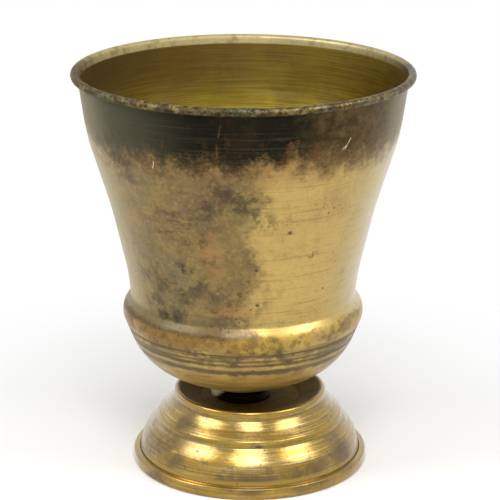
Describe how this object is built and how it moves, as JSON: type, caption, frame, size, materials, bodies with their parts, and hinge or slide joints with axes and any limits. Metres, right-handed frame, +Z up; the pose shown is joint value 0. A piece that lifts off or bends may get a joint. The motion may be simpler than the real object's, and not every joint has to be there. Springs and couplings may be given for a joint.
{
  "type": "footed metal cup",
  "caption": "Open flared metal cup with a rolled rim, a belted round bowl and a stepped hollow foot that is bolted on below a short collar.",
  "frame": {"origin": "on the cup's axis, at the level of the surface that the foot rests on", "axes": "+Z up through the cup's mouth; +X is the side to which the foot is set off the cup's axis"},
  "size_m": [0.18, 0.18, 0.2166],
  "materials": {
    "cup_brass": "aged brass, dark patina under the rim, rubbed gold lower down, satin",
    "foot_brass": "polished olive brass with light tarnish and small pits",
    "collar_brass": "turned brass, darkened by heat and never cleaned",
    "solder": "pale hard solder as it ran, unpolished",
    "iron_wire": "drawn black iron wire",
    "iron_hoop": "flat black iron hoop",
    "fixing_steel": "zinc-plated steel, dulled",
    "washer_steel": "plain steel, dulled, light rust at the edge",
    "spring_steel": "blackened spring steel"
  },
  "bodies": {
    "root": {"cup_shell": "cup_brass", "rim_wire": "iron_wire", "neck_collar": "collar_brass", "collar_solder": "solder", "cup_stud": "fixing_steel", "foot_shell": "foot_brass", "foot_hoop": "iron_hoop", "dish_washer": "washer_steel", "lock_washer": "spring_steel", "hex_nut": "fixing_steel"}
  },
  "joints": []
}
